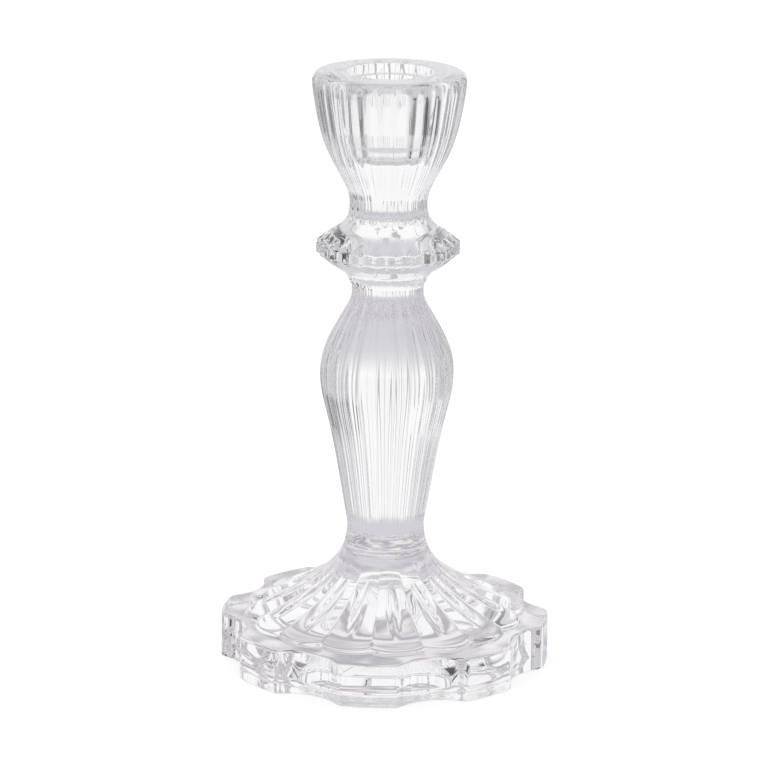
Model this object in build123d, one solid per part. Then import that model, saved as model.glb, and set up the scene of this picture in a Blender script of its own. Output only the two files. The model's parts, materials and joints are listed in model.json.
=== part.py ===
from build123d import *

import os
from math import cos, pi, radians, sin

os.makedirs("parts", exist_ok=True)

# A pressed clear-glass candlestick, in millimetres. +Z is up, and the origin is the middle of
# the face it stands on. The front is -Y, where one of the foot's lobes is centred.
# The glass is made here as four sections that meet face to face where the form narrows or
# creases: the foot, the stem, the collar and the candle cup.

# Heights above the table of the faces where the sections meet
FOOT_TOP = 42.5
STEM_TOP = 120.6
COLLAR_TOP = 146.5
TOTAL_HEIGHT = 187.0

# Radii where the sections meet, which are also the narrow places of the outline
FOOT_NECK_RADIUS = 12.0
STEM_NECK_RADIUS = 11.3
CUP_NECK_RADIUS = 12.0

# Flutes round the cup and the stem
FLUTES = 24
FLUTE_TURN = -3.75
NECK_FLUTE_DEPTH = 0.30

# Candle cup: the rim, and the socket for a 22 mm candle
RIM_RADIUS = 23.8
RIM_HEIGHT = 184.2
SHOULDER_RADIUS = 2.6
SOCKET_RADIUS = 11.3
SOCKET_MOUTH_RADIUS = 13.7
SOCKET_MOUTH_DEPTH = 3.3
MOUTH_EDGE = 0.35
SOCKET_LAND_LENGTH = 16.0
SOCKET_DEPTH = 25.5
SOCKET_FLOOR_RADIUS = 10.2
SOCKET_CORNER = 3.6

# Collar: a flared disc with a faceted edge band
COLLAR_RADIUS = 22.7
COLLAR_FACET_RADIUS = 22.2
COLLAR_BAND_LOW = 131.4
COLLAR_BAND_HIGH = 133.4
BAND_CORNER = 0.8

# Foot: a lobed rim round a petalled dome, hollow underneath
LOBES = 8
LOBE_RADIUS = 51.5
LOBE_HALF_ANGLE = 10.4
LOBE_CORNER = 1.6
NOTCH_RADIUS = 46.4
RIM_TOP = 14.0
RIM_TOP_ROUND = 1.2
RIM_FOOT_ROUND = 0.6
SCOOP_RADIUS = 8.0
SCOOP_REACH = 53.2
SCOOP_HEIGHT = 17.2
PETALS = 16
DOME_RADIUS = 44.0
LEAF_HALF_LENGTH = 10.0
LEAF_HALF_WIDTH = 1.9
LEAF_HALF_DEPTH = 1.0
LEAF_PLACE = (28.5, 22.4)
LEAF_SLOPE = 28.0
HOLLOW_RADIUS = 38.0
HOLLOW_HEIGHT = 25.0

# Outlines as (height, radius of the ridges, depth of the grooves between them), going up
CUP_OUTLINE = [
    (COLLAR_TOP, CUP_NECK_RADIUS, NECK_FLUTE_DEPTH),
    (149.0, 12.4, 0.35),
    (153.0, 14.0, 0.40),
    (158.5, 17.0, 0.50),
    (165.0, 19.9, 0.55),
    (172.0, 21.9, 0.60),
    (178.0, 23.0, 0.60),
    (182.0, 23.6, 0.55),
    (RIM_HEIGHT, RIM_RADIUS, 0.50),
]
STEM_OUTLINE = [
    (FOOT_TOP, FOOT_NECK_RADIUS, 0.05),
    (45.0, 12.2, 0.35),
    (48.0, 12.7, 0.45),
    (56.0, 14.1, 0.50),
    (68.0, 16.2, 0.55),
    (79.5, 18.7, 0.60),
    (90.0, 20.8, 0.60),
    (98.0, 20.2, 0.55),
    (105.0, 17.4, 0.50),
    (112.0, 13.5, 0.40),
    (117.0, 11.2, 0.30),
    (STEM_TOP, STEM_NECK_RADIUS, NECK_FLUTE_DEPTH),
]
DOME_OUTLINE = [
    (RIM_TOP, DOME_RADIUS, 2.2),
    (16.0, 41.0, 2.2),
    (18.6, 36.0, 2.2),
    (21.6, 30.0, 1.9),
    (24.8, 24.3, 1.3),
    (28.4, 18.9, 0.6),
    (32.5, 15.1, 0.1),
    (37.0, 12.9, 0.0),
    (FOOT_TOP, FOOT_NECK_RADIUS, 0.0),
]


def on_circle(radius, angle, height=0.0):
    """A point at an angle from the front, in degrees anticlockwise seen from above."""
    turn = radians(angle - 90)
    return Vector(radius * cos(turn), radius * sin(turn), height)


def ribbed_section(height, ridge_radius, groove_depth, count, turn, hollowed):
    """A closed section of equal arcs. Hollowed arcs sink between ridges, others swell between grooves."""
    step = 360 / count
    end_radius = ridge_radius if hollowed else ridge_radius - groove_depth
    middle_radius = ridge_radius - groove_depth if hollowed else ridge_radius
    arcs = []
    for i in range(count):
        start = on_circle(end_radius, turn + i * step, height)
        middle = on_circle(middle_radius, turn + (i + 0.5) * step, height)
        end = on_circle(end_radius, turn + (i + 1) * step, height)
        arcs.append(ThreePointArc(start, middle, end))
    return Face(Wire(arcs))


def ribbed_solid(outline, count, turn, hollowed=True):
    """A solid lofted smoothly through the ribbed sections of an outline."""
    sections = [ribbed_section(*station, count, turn, hollowed) for station in outline]
    return loft(sections)


def turned(profile):
    """The solid that a closed XZ profile makes when it turns about the axis."""
    return revolve(Plane.XZ * make_face(profile), Axis.Z)


def candle_cup():
    """The fluted cup under a plain rim, with a flared socket that narrows below its straight land."""
    body = ribbed_solid(CUP_OUTLINE, FLUTES, FLUTE_TURN)
    flat_radius = RIM_RADIUS - SHOULDER_RADIUS
    shoulder_middle = SHOULDER_RADIUS * cos(pi / 4)
    rim = [
        Line((0, RIM_HEIGHT), (RIM_RADIUS, RIM_HEIGHT)),
        ThreePointArc(
            (RIM_RADIUS, RIM_HEIGHT),
            (flat_radius + shoulder_middle, RIM_HEIGHT + (TOTAL_HEIGHT - RIM_HEIGHT) * sin(pi / 4)),
            (flat_radius, TOTAL_HEIGHT),
        ),
        Line((flat_radius, TOTAL_HEIGHT), (0, TOTAL_HEIGHT)),
        Line((0, TOTAL_HEIGHT), (0, RIM_HEIGHT)),
    ]
    land_top = TOTAL_HEIGHT - SOCKET_MOUTH_DEPTH
    land_foot = land_top - SOCKET_LAND_LENGTH
    floor = TOTAL_HEIGHT - SOCKET_DEPTH
    edge_foot = TOTAL_HEIGHT - 2 * MOUTH_EDGE
    mouth_middle = (SOCKET_MOUTH_RADIUS - MOUTH_EDGE - SOCKET_RADIUS) * sin(pi / 4)
    mouth_height = (edge_foot - land_top) * (1 - cos(pi / 4))
    socket = [
        Line((0, TOTAL_HEIGHT), (SOCKET_MOUTH_RADIUS + MOUTH_EDGE, TOTAL_HEIGHT)),
        Line((SOCKET_MOUTH_RADIUS + MOUTH_EDGE, TOTAL_HEIGHT), (SOCKET_MOUTH_RADIUS - MOUTH_EDGE, edge_foot)),
        ThreePointArc(
            (SOCKET_MOUTH_RADIUS - MOUTH_EDGE, edge_foot),
            (SOCKET_RADIUS + mouth_middle, land_top + mouth_height),
            (SOCKET_RADIUS, land_top),
        ),
        Line((SOCKET_RADIUS, land_top), (SOCKET_RADIUS, land_foot)),
        Line((SOCKET_RADIUS, land_foot), (SOCKET_FLOOR_RADIUS, floor + SOCKET_CORNER)),
        ThreePointArc(
            (SOCKET_FLOOR_RADIUS, floor + SOCKET_CORNER),
            (
                SOCKET_FLOOR_RADIUS - SOCKET_CORNER * (1 - cos(pi / 4)),
                floor + SOCKET_CORNER * (1 - sin(pi / 4)),
            ),
            (SOCKET_FLOOR_RADIUS - SOCKET_CORNER, floor),
        ),
        Line((SOCKET_FLOOR_RADIUS - SOCKET_CORNER, floor), (0, floor)),
        Line((0, floor), (0, TOTAL_HEIGHT)),
    ]
    return body + turned(rim) - turned(socket)


def collar():
    """The flared disc under the cup, with flats round its edge band."""
    band_middle = (COLLAR_BAND_LOW + COLLAR_BAND_HIGH) / 2
    under = Spline(
        (STEM_NECK_RADIUS, STEM_TOP),
        (13.4, 124.2),
        (18.0, 127.6),
        (COLLAR_RADIUS - BAND_CORNER, COLLAR_BAND_LOW - BAND_CORNER),
        tangents=[(0.35, 1.0), (1.0, 0.45)],
    )
    edge = ThreePointArc(
        (COLLAR_RADIUS - BAND_CORNER, COLLAR_BAND_LOW - BAND_CORNER),
        (COLLAR_RADIUS, band_middle),
        (COLLAR_RADIUS - BAND_CORNER, COLLAR_BAND_HIGH + BAND_CORNER),
    )
    shoulder = Spline(
        (COLLAR_RADIUS - BAND_CORNER, COLLAR_BAND_HIGH + BAND_CORNER),
        (18.2, 136.7),
        (13.9, 139.9),
        (CUP_NECK_RADIUS, COLLAR_TOP),
        tangents=[(-1.0, 0.9), (0.0, 1.0)],
    )
    closing = [
        Line((CUP_NECK_RADIUS, COLLAR_TOP), (0, COLLAR_TOP)),
        Line((0, COLLAR_TOP), (0, STEM_TOP)),
        Line((0, STEM_TOP), (STEM_NECK_RADIUS, STEM_TOP)),
    ]
    disc = turned([under, edge, shoulder] + closing)
    flats = Pos(0, 0, STEM_TOP) * extrude(
        RegularPolygon(COLLAR_FACET_RADIUS, FLUTES, major_radius=False, rotation=FLUTE_TURN),
        COLLAR_TOP - STEM_TOP,
    )
    return disc & flats


def stem():
    """The fluted baluster stem."""
    return ribbed_solid(STEM_OUTLINE, FLUTES, FLUTE_TURN)


def lobed_outline():
    """The plan of the foot: lobes that follow the outer circle, with hollow arcs between them."""
    step = 360 / LOBES
    arcs = []
    for i in range(LOBES):
        centre = i * step
        lobe_start = on_circle(LOBE_RADIUS, centre - LOBE_HALF_ANGLE)
        lobe_end = on_circle(LOBE_RADIUS, centre + LOBE_HALF_ANGLE)
        next_start = on_circle(LOBE_RADIUS, centre + step - LOBE_HALF_ANGLE)
        arcs.append(ThreePointArc(lobe_start, on_circle(LOBE_RADIUS, centre), lobe_end))
        arcs.append(ThreePointArc(lobe_end, on_circle(NOTCH_RADIUS, centre + step / 2), next_start))
    return Face(Wire(arcs))


def leaf_groove(angle):
    """The leaf-shaped solid that is pressed into the middle of a petal at an angle from the front."""
    leaf = scale(Sphere(1), by=(LEAF_HALF_WIDTH, LEAF_HALF_LENGTH, LEAF_HALF_DEPTH))
    radius, height = LEAF_PLACE
    return Rot(0, 0, angle) * Pos(0, -radius, height) * Rot(LEAF_SLOPE, 0, 0) * leaf


def foot():
    """The lobed rim under a petalled dome, scooped at the notches and hollow underneath."""
    plate = extrude(lobed_outline(), RIM_TOP)
    plate = fillet(plate.edges().filter_by(Axis.Z), LOBE_CORNER)
    plate = fillet(plate.edges().group_by(Axis.Z)[-1], RIM_TOP_ROUND)
    plate = fillet(plate.edges().group_by(Axis.Z)[0], RIM_FOOT_ROUND)
    dome = ribbed_solid(DOME_OUTLINE, PETALS, 0.0, hollowed=False)
    for i in range(PETALS):
        dome -= leaf_groove((i + 0.5) * 360 / PETALS)
    body = plate + dome
    for i in range(LOBES):
        notch_centre = (i + 0.5) * 360 / LOBES
        body -= Pos(on_circle(SCOOP_REACH, notch_centre, SCOOP_HEIGHT)) * Sphere(SCOOP_RADIUS)
    wall = Spline(
        (HOLLOW_RADIUS, 0),
        (33.0, 7.5),
        (23.0, 13.0),
        (13.5, 17.5),
        (7.5, 21.5),
        (3.4, 24.3),
        (0, HOLLOW_HEIGHT),
        tangents=[(-0.25, 1.0), (-1.0, 0.0)],
    )
    hollow = turned([wall, Line((0, HOLLOW_HEIGHT), (0, 0)), Line((0, 0), (HOLLOW_RADIUS, 0))])
    return body - hollow


SECTIONS = {"candle_cup": candle_cup, "collar": collar, "stem": stem, "foot": foot}

for name, make in SECTIONS.items():
    section = make()
    export_step(section, f"parts/{name}.step")
    print(name, "volume", round(section.volume / 1000, 1), "cm3")
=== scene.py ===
import json
import math

import bpy
import numpy as np
from mathutils import Matrix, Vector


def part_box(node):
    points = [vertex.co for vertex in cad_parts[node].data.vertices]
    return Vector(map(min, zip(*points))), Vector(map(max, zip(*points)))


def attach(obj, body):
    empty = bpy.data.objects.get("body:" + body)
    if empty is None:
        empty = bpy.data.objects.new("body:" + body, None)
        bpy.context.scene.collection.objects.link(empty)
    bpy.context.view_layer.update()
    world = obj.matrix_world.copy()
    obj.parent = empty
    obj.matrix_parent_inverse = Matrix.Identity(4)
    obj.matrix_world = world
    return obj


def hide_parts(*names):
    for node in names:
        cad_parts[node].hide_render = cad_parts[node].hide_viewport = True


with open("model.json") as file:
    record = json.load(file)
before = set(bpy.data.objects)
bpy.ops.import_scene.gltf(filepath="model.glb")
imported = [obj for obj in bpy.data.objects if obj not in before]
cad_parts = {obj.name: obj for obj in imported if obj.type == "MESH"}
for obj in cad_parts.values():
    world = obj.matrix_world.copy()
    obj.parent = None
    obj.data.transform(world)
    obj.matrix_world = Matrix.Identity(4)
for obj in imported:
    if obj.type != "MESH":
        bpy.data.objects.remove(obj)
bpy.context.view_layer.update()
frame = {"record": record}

MM = 0.001

# ---------------------------------------------------------------------------------------------
# Sizes, in millimetres, read from the frame where it holds them
# ---------------------------------------------------------------------------------------------
FOOT_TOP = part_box("foot")[1].z / MM
STEM_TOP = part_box("stem")[1].z / MM
COLLAR_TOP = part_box("collar")[1].z / MM
TOTAL_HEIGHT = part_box("candle_cup")[1].z / MM
RIM_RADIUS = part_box("candle_cup")[1].x / MM
LOBE_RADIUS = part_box("foot")[1].x / MM
SOCKET = next(m for m in frame["record"]["mounts"] if m["name"] == "candle_socket")
SOCKET_RADIUS = SOCKET["dims"]["r_mm"]
SOCKET_LAND_LENGTH = SOCKET["dims"]["length_mm"]

# Cup
SHOULDER_RADIUS = 2.6
SHOULDER_DROP = 2.8
RIM_HEIGHT = TOTAL_HEIGHT - SHOULDER_DROP
SOCKET_MOUTH_RADIUS = 13.7
SOCKET_MOUTH_DEPTH = 3.3
MOUTH_EDGE = 0.5
SOCKET_DEPTH = 25.5
SOCKET_FLOOR_RADIUS = 10.2
SOCKET_CORNER = 3.6
CUP_NECK_RADIUS = 12.0

# Collar
STEM_NECK_RADIUS = 11.3
COLLAR_RADIUS = 22.3
COLLAR_BAND_LOW = 131.3
COLLAR_BAND_HIGH = 133.5
BAND_CORNER = 0.7
BAND_FACET_DEPTH = 0.9

# Flutes of the cup and the stem
FLUTES = 24
FLUTE_TURN = -3.75
RIDGE_ROUNDING = 0.13
NECK_FLUTE_DEPTH = 0.30

# Foot
FOOT_NECK_RADIUS = 12.0
LOBES = 8
LOBE_HALF_ANGLE = 10.4
NOTCH_RADIUS = 46.4
RIM_TOP = 14.0
RIM_TOP_ROUND = 1.0
RIM_FOOT_ROUND = 0.5
SCOOP_RADIUS = 8.0
SCOOP_REACH = 53.2
SCOOP_HEIGHT = 17.2
SCOOP_EDGE = 0.25
PETALS = 16
DOME_EDGE_RADIUS = 44.0
HOLLOW_RADIUS = 38.0
HOLLOW_HEIGHT = 25.0

LEAF_RADIUS = 28.5
LEAF_HALF_LENGTH = 10.0
LEAF_HALF_WIDTH = 1.9
LEAF_DEPTH = 1.6
LEAF_FULLNESS = 0.8

# Outlines as (height, radius of the ridges, depth of the flutes), going up
CUP_OUTLINE = [
    (COLLAR_TOP, CUP_NECK_RADIUS, NECK_FLUTE_DEPTH),
    (149.0, 12.4, 0.35),
    (153.0, 14.0, 0.40),
    (158.5, 17.0, 0.50),
    (165.0, 19.9, 0.55),
    (172.0, 21.9, 0.60),
    (178.0, 23.0, 0.60),
    (182.0, 23.6, 0.55),
    (RIM_HEIGHT, RIM_RADIUS, 0.50),
]
STEM_OUTLINE = [
    (FOOT_TOP, FOOT_NECK_RADIUS, 0.05),
    (45.0, 12.2, 0.35),
    (48.0, 12.7, 0.45),
    (56.0, 14.1, 0.50),
    (68.0, 16.2, 0.55),
    (79.5, 18.7, 0.60),
    (90.0, 20.8, 0.60),
    (98.0, 20.2, 0.55),
    (105.0, 17.4, 0.50),
    (112.0, 13.5, 0.40),
    (117.0, 11.2, 0.30),
    (STEM_TOP, STEM_NECK_RADIUS, NECK_FLUTE_DEPTH),
]
# The dome as (height, radius along the petals, depth of the creases between them), going down
DOME_OUTLINE = [
    (FOOT_TOP, FOOT_NECK_RADIUS, 0.0),
    (37.0, 12.9, 0.0),
    (32.5, 15.1, 0.1),
    (28.4, 18.9, 0.6),
    (24.8, 24.3, 1.3),
    (21.6, 30.0, 1.9),
    (18.6, 36.0, 2.2),
    (16.4, 40.6, 2.2),
    (15.2, 43.2, 2.3),
    (RIM_TOP, DOME_EDGE_RADIUS, 2.4),
]
HOLLOW_OUTLINE = [
    (0.0, HOLLOW_RADIUS),
    (7.5, 33.0),
    (13.0, 23.0),
    (17.5, 13.5),
    (21.5, 7.5),
    (24.3, 3.4),
    (HOLLOW_HEIGHT, 0.0),
]

# Between the collar's necks and its band
COLLAR_SHOULDER = [(143.0, 12.3), (139.9, 13.9), (136.7, 18.2)]
COLLAR_UNDER = [(127.6, 18.0), (124.2, 13.4)]

# Camera: degrees, metres, and the lens in millimetres
CAMERA_LENS = 179.7
CAMERA_DISTANCE = 1.150
CAMERA_HEIGHT = 0.402
CAMERA_AZIMUTH = 5.5
CAMERA_PITCH = 15.26
CAMERA_ROLL = 0.55
CAMERA_SHIFT = -0.0037

# The glass: the colour and strength of its tint, and its faint relief as (size per metre, metres high)
GLASS_IOR = 1.5
GLASS_TINT = (0.90, 0.87, 0.90, 1.0)
GLASS_TINT_DENSITY = 3.0
MOULD_LINES = ((500, 500, 12), 0.000005)
SOFT_WAVES = ((90, 90, 50), 0.00003)

# The floor as the camera sees it
FLOOR_HALF_WIDTH = 8.0
FLOOR_DROP = 0.0001
FLOOR_COLOUR = (0.60, 0.60, 0.60, 1.0)
FLOOR_GLOW = 0.66

# The floor as the glass shows it, a glow with painted light and shade going out from the foot: painted
# caustic patches, painted shade near it, far floor. Distances in metres
# Painted caustic light and painted shade under the foot, and how big and soft-edged their patches are
PAINTED_CAUSTIC_LIGHT = (0.86, 0.82, 0.85)
PAINTED_CAUSTIC_SHADE = (0.45, 0.435, 0.475)
PAINTED_CAUSTICS_PER_METRE = 75
PAINTED_CAUSTIC_EDGES = (0.38, 0.64)
# Painted shade on the floor close round the foot, and the distances where it begins and ends
PAINTED_NEAR_SHADE = (0.65, 0.64, 0.68)
PAINTED_NEAR_SHADE_EDGES = (0.045, 0.07)
FAR_FLOOR = (1.0, 1.0, 1.0)
FAR_EDGES = (0.15, 0.36)
# Painted shade: darker stretches of the far floor as (degrees right of straight behind, half width,
# level)
PAINTED_FLOOR_SHADE_CARDS = [(45, 20, 0.66), (-45, 18, 0.70), (180, 72, 0.42), (84, 24, 0.10), (-84, 24, 0.45)]

# The room as the glass shows it
ROOM_COLOUR = (0.99, 0.99, 1.00)
OVERHEAD_COLOUR = (0.66, 0.66, 0.68)
OVERHEAD_EDGES = (0.6, 0.95)
# Dark cards in the room as (degrees right of straight behind, half width, top, level)
WORLD_CARDS = [(53, 25, 14, 0.25), (100, 38, 40, 0.04), (-85, 32, 42, 0.24)]

# How softly the cards end, in degrees, and how much more blue than red they have
CARD_EDGE = 5
BLUER = 1.03
# Soft grey upright streaks as (how many to a radian, level): painted shade on the floor, darker bands of
# the room's light in the world
PAINTED_FLOOR_SHADE_STREAKS = (10, 0.52)
WORLD_STREAKS = (5, 0.84)
STREAK_EDGES = (0.53, 0.60)

# How finely the skin is divided, round the axis and along each stretch
AROUND = 384
CUP_RINGS = 34
SHOULDER_RINGS = 17
UNDER_RINGS = 15
STEM_RINGS = 42
DOME_RINGS = 53
HOLLOW_RINGS = 24
ANGLE = np.arange(AROUND) * 360 / AROUND


# ---------------------------------------------------------------------------------------------
# The skin of the glass, as rings: each has a radius and a height for every angle
# ---------------------------------------------------------------------------------------------
def smooth_through(points, count):
    """Points evenly spaced by length along the natural cubic spline through the given points."""
    points = np.array(points, float)
    knots = np.r_[0, np.cumsum(np.linalg.norm(np.diff(points[:, :2], axis=0), axis=1))]
    step = np.diff(knots)[:, None]
    size = len(points)
    system, right = np.eye(size), np.zeros_like(points)
    for i in range(1, size - 1):
        before, after = step[i - 1, 0], step[i, 0]
        system[i, i - 1 : i + 2] = before, 2 * (before + after), after
        right[i] = 6 * ((points[i + 1] - points[i]) / after - (points[i] - points[i - 1]) / before)
    bend = np.linalg.solve(system, right)

    def at(length):
        i = np.clip(np.searchsorted(knots, length, side="right") - 1, 0, size - 2)
        b = ((length - knots[i]) / step[i, 0])[:, None]
        a = 1 - b
        curve = ((a**3 - a) * bend[i] + (b**3 - b) * bend[i + 1]) * step[i] ** 2 / 6
        return a * points[i] + b * points[i + 1] + curve

    fine = at(np.linspace(0, knots[-1], 2000))
    length = np.r_[0, np.cumsum(np.linalg.norm(np.diff(fine[:, :2], axis=0), axis=1))]
    even = np.linspace(0, length[-1], count)
    return np.stack([np.interp(even, length, column) for column in fine.T], axis=1)


def across(count, turn):
    """Where each angle lies across one of count equal parts: -1 and 1 at its edges, 0 in its middle."""
    return 2 * (((ANGLE - turn) * count / 360) % 1) - 1


def hollowed(t):
    """The hollow of a flute across its width: 0 on the rounded ridges, 1 along its middle."""
    from_ridge = np.sqrt((1 - np.abs(t)) ** 2 + RIDGE_ROUNDING**2) - RIDGE_ROUNDING
    from_ridge /= math.sqrt(1 + RIDGE_ROUNDING**2) - RIDGE_ROUNDING
    return 1 - (1 - from_ridge) ** 2


def soft_min(a, b, blend):
    """The smaller of two heights, with the corner between them rounded over blend."""
    return (a + b - np.sqrt((a - b) ** 2 + blend**2)) / 2


def quarter_round(start, end, count, bulge_radially_first):
    """Rings between two (height, radius) places along a quarter ellipse, without its first ring."""
    rings = []
    for k in range(1, count + 1):
        turn = math.pi / 2 * k / count
        radial, vertical = math.sin(turn), 1 - math.cos(turn)
        if not bulge_radially_first:
            radial, vertical = vertical, radial
        height = start[0] + (end[0] - start[0]) * vertical
        rings.append((height, start[1] + (end[1] - start[1]) * radial))
    return rings


def straight(start, end, count):
    """Evenly spaced places on a line, without its first."""
    return [
        (start[0] + (end[0] - start[0]) * k / count, start[1] + (end[1] - start[1]) * k / count)
        for k in range(1, count + 1)
    ]


def socket_rings():
    """From the middle of the socket's floor up its wall, over the lip and out to the rim's shoulder."""
    floor = TOTAL_HEIGHT - SOCKET_DEPTH
    land_top = TOTAL_HEIGHT - SOCKET_MOUTH_DEPTH
    land_foot = land_top - SOCKET_LAND_LENGTH
    flat_radius = RIM_RADIUS - SHOULDER_RADIUS
    places = [(floor, 1.5)]
    places += straight(places[-1], (floor, SOCKET_FLOOR_RADIUS - SOCKET_CORNER), 3)
    places += quarter_round(places[-1], (floor + SOCKET_CORNER, SOCKET_FLOOR_RADIUS), 8, True)
    places += straight(places[-1], (land_foot, SOCKET_RADIUS), 3)
    places += straight(places[-1], (land_top, SOCKET_RADIUS), 5)
    mouth = SOCKET_MOUTH_RADIUS
    places += quarter_round(places[-1], (TOTAL_HEIGHT - MOUTH_EDGE, mouth - MOUTH_EDGE / 2), 6, True)
    places += quarter_round(places[-1], (TOTAL_HEIGHT, mouth + MOUTH_EDGE / 2), 4, False)
    places += straight(places[-1], (TOTAL_HEIGHT, flat_radius), 4)
    places += quarter_round(places[-1], (RIM_HEIGHT, RIM_RADIUS), 9, True)
    hollow = hollowed(across(FLUTES, FLUTE_TURN))
    rings = []
    for height, radius in places:
        down_shoulder = (TOTAL_HEIGHT - height) / SHOULDER_DROP if radius > flat_radius else 0
        rings.append((radius - CUP_OUTLINE[-1][2] * down_shoulder * hollow, np.full(AROUND, height)))
    return rings


def fluted_rings(outline, count):
    """Down a fluted outline, without its last ring."""
    hollow = hollowed(across(FLUTES, FLUTE_TURN))
    stations = smooth_through(outline[::-1], count + 1)[:-1]
    return [(radius - depth * hollow, np.full(AROUND, height)) for height, radius, depth in stations]


def collar_rings():
    """Down the collar: its hollow shoulder, the faceted band and the cone under it."""
    edge = COLLAR_RADIUS - BAND_CORNER
    band_top = (COLLAR_BAND_HIGH + BAND_CORNER, edge)
    face_top = (COLLAR_BAND_HIGH, COLLAR_RADIUS)
    face_foot = (COLLAR_BAND_LOW, COLLAR_RADIUS)
    band_foot = (COLLAR_BAND_LOW - BAND_CORNER, edge)
    neck_top = (COLLAR_TOP, CUP_NECK_RADIUS)
    neck_foot = (STEM_TOP, STEM_NECK_RADIUS)
    shoulder = smooth_through([neck_top, *COLLAR_SHOULDER, band_top], SHOULDER_RINGS)[:-1]
    top = quarter_round(band_top, face_top, 4, True)
    face = straight(face_top, face_foot, 3)
    foot = quarter_round(face_foot, band_foot, 4, False)
    under = smooth_through([band_foot, *COLLAR_UNDER, neck_foot], UNDER_RINGS)[1:-1]
    facet = hollowed(across(FLUTES, FLUTE_TURN))
    rings = []
    for height, radius in [*shoulder, *top, *face, *foot, *under]:
        out = max(radius - CUP_NECK_RADIUS, 0) / (COLLAR_RADIUS - CUP_NECK_RADIUS)
        depth = NECK_FLUTE_DEPTH * max(1 - 4 * out, 0) + BAND_FACET_DEPTH * out**6
        rings.append((radius - depth * facet, np.full(AROUND, height)))
    return rings


def lobed_radius():
    """The radius of the foot's outline at every angle, with its corners slightly rounded."""
    step = 360 / LOBES
    from_lobe = np.abs((ANGLE + step / 2) % step - step / 2)
    half_notch = math.radians(step / 2 - LOBE_HALF_ANGLE)
    half_chord = LOBE_RADIUS * math.sin(half_notch)
    sag = LOBE_RADIUS * math.cos(half_notch) - NOTCH_RADIUS
    arc_radius = (half_chord**2 + sag**2) / (2 * sag)
    arc_centre = NOTCH_RADIUS + arc_radius
    from_notch = np.radians(step / 2 - from_lobe)
    across_arc = arc_radius**2 - (arc_centre * np.sin(from_notch)) ** 2
    notch = arc_centre * np.cos(from_notch) - np.sqrt(np.maximum(across_arc, 0))
    outline = np.where(from_lobe < LOBE_HALF_ANGLE, LOBE_RADIUS, notch)
    return (np.roll(outline, 1) + 2 * outline + np.roll(outline, -1)) / 4


def scooped(radius, height):
    """The height left at a radius once the round scoop over each notch is taken out."""
    step = 360 / LOBES
    from_notch = np.radians(ANGLE % step - step / 2)
    away = radius**2 + SCOOP_REACH**2 - 2 * radius * SCOOP_REACH * np.cos(from_notch)
    inside = np.maximum(SCOOP_RADIUS**2 - away, 0)
    return np.where(inside > 0, soft_min(height, SCOOP_HEIGHT - np.sqrt(inside), SCOOP_EDGE), height)


def leaf_groove(radius):
    """How deep the leaf-shaped groove down the middle of each petal is at a radius."""
    aside = radius * np.radians(across(PETALS, 0) * 180 / PETALS) / LEAF_HALF_WIDTH
    along = (radius - LEAF_RADIUS) / LEAF_HALF_LENGTH
    return LEAF_DEPTH * np.maximum(1 - along**2 - aside**2, 0) ** LEAF_FULLNESS


def foot_rings():
    """Down the neck and the petalled dome, out over the rim, down the lobes and in to the hollow."""
    crease = across(PETALS, 0) ** 2
    rings = []
    for height, radius, depth in smooth_through(DOME_OUTLINE, DOME_RINGS)[:-1]:
        petalled = radius - depth * crease - leaf_groove(radius)
        rings.append((petalled, scooped(petalled, height)))
    dome_edge = DOME_EDGE_RADIUS - DOME_OUTLINE[-1][2] * crease
    outline = lobed_radius()
    for k in range(9):
        radius = dome_edge + (outline - RIM_TOP_ROUND - dome_edge) * k / 8
        rings.append((radius, scooped(radius, RIM_TOP)))
    edge_height = rings[-1][1]
    for fall, out in quarter_round((0, -RIM_TOP_ROUND), (-RIM_TOP_ROUND, 0), 4, True):
        rings.append((outline + out, edge_height + fall))
    for k in range(1, 7):
        height = edge_height - RIM_TOP_ROUND
        rings.append((outline, height + (RIM_FOOT_ROUND - height) * k / 6))
    for height, back in quarter_round((RIM_FOOT_ROUND, 0), (0, -RIM_FOOT_ROUND), 3, False):
        rings.append((outline + back, np.full(AROUND, float(height))))
    for k in range(1, 5):
        inward = outline - RIM_FOOT_ROUND
        rings.append((inward + (HOLLOW_RADIUS - inward) * k / 4, np.zeros(AROUND)))
    for height, radius in smooth_through(HOLLOW_OUTLINE, HOLLOW_RINGS)[1:-1]:
        rings.append((np.full(AROUND, radius), np.full(AROUND, height)))
    return rings


def glass_mesh():
    """One closed skin, from the middle of the socket's floor to the top of the hollow under the foot."""
    rings = socket_rings() + fluted_rings(CUP_OUTLINE, CUP_RINGS)[1:] + collar_rings()
    rings += fluted_rings(STEM_OUTLINE, STEM_RINGS) + foot_rings()
    radius = np.array([r for r, _ in rings])
    height = np.array([z for _, z in rings])
    turn = np.radians(ANGLE)
    skin = np.stack([radius * np.sin(turn), -radius * np.cos(turn), height], axis=2).reshape(-1, 3)
    first = [0, 0, rings[0][1][0]]
    last = [0, 0, HOLLOW_HEIGHT]
    points = np.vstack([skin, [first, last]]) * MM
    count = len(rings)
    here = np.arange(AROUND)
    after = np.roll(here, -1)
    faces = []
    for i in range(count - 1):
        upper, lower = i * AROUND, (i + 1) * AROUND
        faces += np.stack([upper + here, lower + here, lower + after, upper + after], axis=1).tolist()
    top, bottom = count * AROUND, count * AROUND + 1
    base = (count - 1) * AROUND
    faces += [[top, int(j), int(k)] for j, k in zip(here, after, strict=True)]
    faces += [[bottom, int(base + k), int(base + j)] for j, k in zip(here, after, strict=True)]
    mesh = bpy.data.meshes.new("candlestick_glass")
    mesh.from_pydata(points.tolist(), [], faces)
    mesh.polygons.foreach_set("use_smooth", [True] * len(mesh.polygons))
    mesh.update()
    print("glass skin:", count, "rings,", len(mesh.polygons), "faces")
    return mesh


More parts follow.
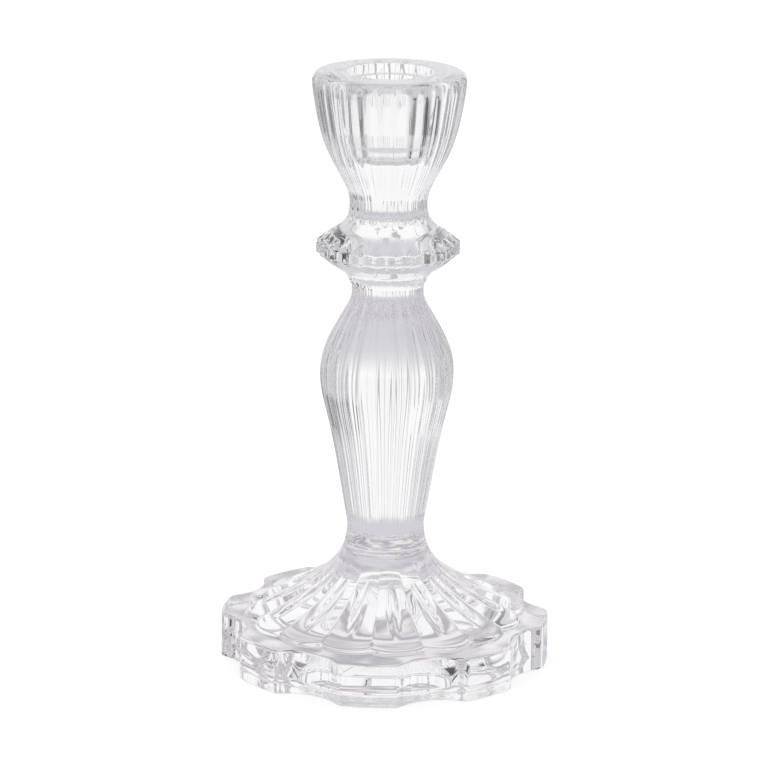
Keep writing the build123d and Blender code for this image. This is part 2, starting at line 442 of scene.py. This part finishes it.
# ---------------------------------------------------------------------------------------------
# Materials
# ---------------------------------------------------------------------------------------------
def relief(nodes, links, place, size_and_height):
    """A bump of soft noise, stretched to a size."""
    size, height = size_and_height
    mapping = nodes.new("ShaderNodeMapping")
    mapping.inputs["Scale"].default_value = size
    links.new(place, mapping.inputs["Vector"])
    noise = nodes.new("ShaderNodeTexNoise")
    noise.inputs["Scale"].default_value = 1.0
    noise.inputs["Detail"].default_value = 1.0
    links.new(mapping.outputs["Vector"], noise.inputs["Vector"])
    bump = nodes.new("ShaderNodeBump")
    bump.inputs["Strength"].default_value = 1.0
    bump.inputs["Distance"].default_value = height
    links.new(noise.outputs["Fac"], bump.inputs["Height"])
    return bump


def clear_glass():
    """Pressed clear glass: faintly lilac in its depth, with the faint relief that a mould leaves."""
    material = bpy.data.materials.new("clear_glass")
    material.use_nodes = True
    nodes, links = material.node_tree.nodes, material.node_tree.links
    shader = nodes["Principled BSDF"]
    shader.inputs["Base Color"].default_value = (1.0, 1.0, 1.0, 1.0)
    shader.inputs["Roughness"].default_value = 0.0
    shader.inputs["IOR"].default_value = GLASS_IOR
    shader.inputs["Transmission Weight"].default_value = 1.0
    place = nodes.new("ShaderNodeTexCoord")
    lines = relief(nodes, links, place.outputs["Object"], MOULD_LINES)
    waves = relief(nodes, links, place.outputs["Object"], SOFT_WAVES)
    links.new(lines.outputs["Normal"], waves.inputs["Normal"])
    links.new(waves.outputs["Normal"], shader.inputs["Normal"])
    tint = nodes.new("ShaderNodeVolumeAbsorption")
    tint.inputs["Color"].default_value = GLASS_TINT
    tint.inputs["Density"].default_value = GLASS_TINT_DENSITY
    links.new(tint.outputs["Volume"], nodes["Material Output"].inputs["Volume"])
    return material


def blend(nodes, links, factor, low, high):
    """A colour that runs from low to high with a factor."""
    mix = nodes.new("ShaderNodeMix")
    mix.data_type = "RGBA"
    for socket, value in (("A", low), ("B", high)):
        if isinstance(value, tuple):
            mix.inputs[socket].default_value = (*value, 1.0)
        else:
            links.new(value, mix.inputs[socket])
    links.new(factor, mix.inputs["Factor"])
    return mix.outputs["Result"]


def ease(nodes, links, value, edges):
    """0 before the first edge and 1 past the second, eased between."""
    ranged = nodes.new("ShaderNodeMapRange")
    ranged.interpolation_type = "SMOOTHSTEP"
    ranged.inputs["From Min"].default_value = edges[0]
    ranged.inputs["From Max"].default_value = edges[1]
    links.new(value, ranged.inputs["Value"])
    return ranged.outputs["Result"]


def level_direction(nodes, links, place):
    """The direction of a place or a ray, seen from above."""
    flat = nodes.new("ShaderNodeVectorMath")
    flat.operation = "MULTIPLY"
    flat.inputs[1].default_value = (1, 1, 0)
    links.new(place, flat.inputs[0])
    level = nodes.new("ShaderNodeVectorMath")
    level.operation = "NORMALIZE"
    links.new(flat.outputs[0], level.inputs[0])
    return level.outputs[0]


def facing(nodes, links, place, azimuth, half_width):
    """1 within half_width degrees of an azimuth, measured right of straight behind, and eased to 0."""
    turn = math.radians(azimuth - CAMERA_AZIMUTH)
    cosine = nodes.new("ShaderNodeVectorMath")
    cosine.operation = "DOT_PRODUCT"
    cosine.inputs[1].default_value = (math.sin(turn), math.cos(turn), 0)
    links.new(level_direction(nodes, links, place), cosine.inputs[0])
    outer = math.cos(math.radians(half_width + CARD_EDGE))
    inner = math.cos(math.radians(half_width - CARD_EDGE))
    return ease(nodes, links, cosine.outputs["Value"], (outer, inner))


def streaked(nodes, links, place, colour, streaks):
    """A colour with soft grey upright streaks, at uneven azimuths, for the flutes to pick up."""
    per_radian, level = streaks
    noise = nodes.new("ShaderNodeTexNoise")
    noise.inputs["Scale"].default_value = per_radian
    noise.inputs["Detail"].default_value = 2.0
    links.new(level_direction(nodes, links, place), noise.inputs["Vector"])
    streak = ease(nodes, links, noise.outputs["Fac"], STREAK_EDGES)
    darker = nodes.new("ShaderNodeVectorMath")
    darker.operation = "SCALE"
    darker.inputs["Scale"].default_value = level
    links.new(colour, darker.inputs[0])
    return blend(nodes, links, streak, colour, darker.outputs[0])


def floor_material():
    """A white seamless floor for the camera. For all other rays it glows with painted light and shade:
    painted caustic patches under the foot, painted lilac-grey shade close by, and white further off with
    painted darker stretches and streaks.
    """
    material = bpy.data.materials.new("studio_floor")
    material.use_nodes = True
    nodes, links = material.node_tree.nodes, material.node_tree.links
    surface = nodes["Principled BSDF"]
    surface.inputs["Base Color"].default_value = FLOOR_COLOUR
    surface.inputs["Roughness"].default_value = 0.9
    surface.inputs["Specular IOR Level"].default_value = 0.0
    surface.inputs["Emission Color"].default_value = (1.0, 1.0, 1.0, 1.0)
    surface.inputs["Emission Strength"].default_value = FLOOR_GLOW
    place = nodes.new("ShaderNodeNewGeometry")
    away = nodes.new("ShaderNodeVectorMath")
    away.operation = "LENGTH"
    links.new(place.outputs["Position"], away.inputs[0])
    distance = away.outputs["Value"]
    # Painted caustics: patches of painted light and painted shade under the foot, standing in for the
    # light that the glass would gather there
    painted_caustic_noise = nodes.new("ShaderNodeTexNoise")
    painted_caustic_noise.inputs["Scale"].default_value = PAINTED_CAUSTICS_PER_METRE
    painted_caustic_noise.inputs["Detail"].default_value = 1.5
    links.new(place.outputs["Position"], painted_caustic_noise.inputs["Vector"])
    painted_caustic_mask = ease(nodes, links, painted_caustic_noise.outputs["Fac"], PAINTED_CAUSTIC_EDGES)
    colour = blend(nodes, links, painted_caustic_mask, PAINTED_CAUSTIC_SHADE, PAINTED_CAUSTIC_LIGHT)
    # Painted shade: lilac-grey floor close round the foot
    colour = blend(nodes, links, ease(nodes, links, distance, PAINTED_NEAR_SHADE_EDGES), colour, PAINTED_NEAR_SHADE)
    far = FAR_FLOOR
    # Painted shade: darker stretches of the far floor at set azimuths
    for azimuth, half_width, level in PAINTED_FLOOR_SHADE_CARDS:
        inside = facing(nodes, links, place.outputs["Position"], azimuth, half_width)
        far = blend(nodes, links, inside, far, (level, level, level * BLUER))
    # Painted shade: soft grey streaks on the far floor for the flutes to pick up
    far = streaked(nodes, links, place.outputs["Position"], far, PAINTED_FLOOR_SHADE_STREAKS)
    colour = blend(nodes, links, ease(nodes, links, distance, FAR_EDGES), colour, far)
    # The floor glows with this painted light and shade for every ray except the camera's
    painted_light_glow = nodes.new("ShaderNodeEmission")
    links.new(colour, painted_light_glow.inputs["Color"])
    path = nodes.new("ShaderNodeLightPath")
    choose = nodes.new("ShaderNodeMixShader")
    links.new(path.outputs["Is Camera Ray"], choose.inputs["Fac"])
    links.new(painted_light_glow.outputs["Emission"], choose.inputs[1])
    links.new(surface.outputs["BSDF"], choose.inputs[2])
    links.new(choose.outputs["Shader"], nodes["Material Output"].inputs["Surface"])
    return material


# ---------------------------------------------------------------------------------------------
# Stage: floor, light and camera
# ---------------------------------------------------------------------------------------------
def build_floor():
    """A plain floor, just under the face that the foot stands on."""
    mesh = bpy.data.meshes.new("studio_floor")
    signs = [(-1, -1), (1, -1), (1, 1), (-1, 1)]
    corners = [(x * FLOOR_HALF_WIDTH, y * FLOOR_HALF_WIDTH, -FLOOR_DROP) for x, y in signs]
    mesh.from_pydata(corners, [], [(0, 1, 2, 3)])
    mesh.materials.append(floor_material())
    floor = bpy.data.objects.new("studio_floor", mesh)
    bpy.context.scene.collection.objects.link(floor)


def build_world():
    """A white room with soft-edged darker cards, which the camera itself sees as white."""
    world = bpy.data.worlds.new("studio")
    bpy.context.scene.world = world
    world.use_nodes = True
    nodes, links = world.node_tree.nodes, world.node_tree.links
    background = nodes["Background"]
    place = nodes.new("ShaderNodeTexCoord")
    parts = nodes.new("ShaderNodeSeparateXYZ")
    links.new(place.outputs["Generated"], parts.inputs[0])
    overhead = ease(nodes, links, parts.outputs["Z"], OVERHEAD_EDGES)
    colour = blend(nodes, links, overhead, ROOM_COLOUR, OVERHEAD_COLOUR)
    for azimuth, half_width, top, level in WORLD_CARDS:
        across_card = facing(nodes, links, place.outputs["Generated"], azimuth, half_width)
        top_edge = math.sin(math.radians(top + CARD_EDGE))
        top_start = math.sin(math.radians(top - CARD_EDGE))
        below_top = ease(nodes, links, parts.outputs["Z"], (top_edge, top_start))
        whole = nodes.new("ShaderNodeMath")
        whole.operation = "MULTIPLY"
        links.new(below_top, whole.inputs[0])
        links.new(across_card, whole.inputs[1])
        colour = blend(nodes, links, whole.outputs[0], colour, (level, level, level * BLUER))
    colour = streaked(nodes, links, place.outputs["Generated"], colour, WORLD_STREAKS)
    path = nodes.new("ShaderNodeLightPath")
    shown = blend(nodes, links, path.outputs["Is Camera Ray"], colour, (1.0, 1.0, 1.0))
    links.new(shown, background.inputs["Color"])
    background.inputs["Strength"].default_value = 1.0


def build_camera():
    """The camera, in front and a little to the right, looking down at the middle of the stem."""
    data = bpy.data.cameras.new("camera")
    data.lens = CAMERA_LENS
    data.sensor_width = 36.0
    data.shift_x = CAMERA_SHIFT
    data.clip_start, data.clip_end = 0.05, 50.0
    camera = bpy.data.objects.new("camera", data)
    bpy.context.scene.collection.objects.link(camera)
    azimuth = math.radians(CAMERA_AZIMUTH)
    camera.location = (
        CAMERA_DISTANCE * math.sin(azimuth),
        -CAMERA_DISTANCE * math.cos(azimuth),
        CAMERA_HEIGHT,
    )
    turn = Matrix.Rotation(azimuth, 4, "Z")
    tip = Matrix.Rotation(math.radians(90 - CAMERA_PITCH), 4, "X")
    roll = Matrix.Rotation(math.radians(CAMERA_ROLL), 4, "Z")
    camera.rotation_euler = (turn @ tip @ roll).to_euler()
    bpy.context.scene.camera = camera


build_camera()
glass = bpy.data.objects.new("candlestick_glass", glass_mesh())
glass.data.materials.append(clear_glass())
bpy.context.scene.collection.objects.link(glass)
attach(glass, "root")
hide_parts("candle_cup", "collar", "stem", "foot")
build_floor()
build_world()
scene = bpy.context.scene
scene.view_settings.view_transform = "Standard"
scene.cycles.max_bounces = 32
scene.cycles.glossy_bounces = 24
scene.cycles.transmission_bounces = 24
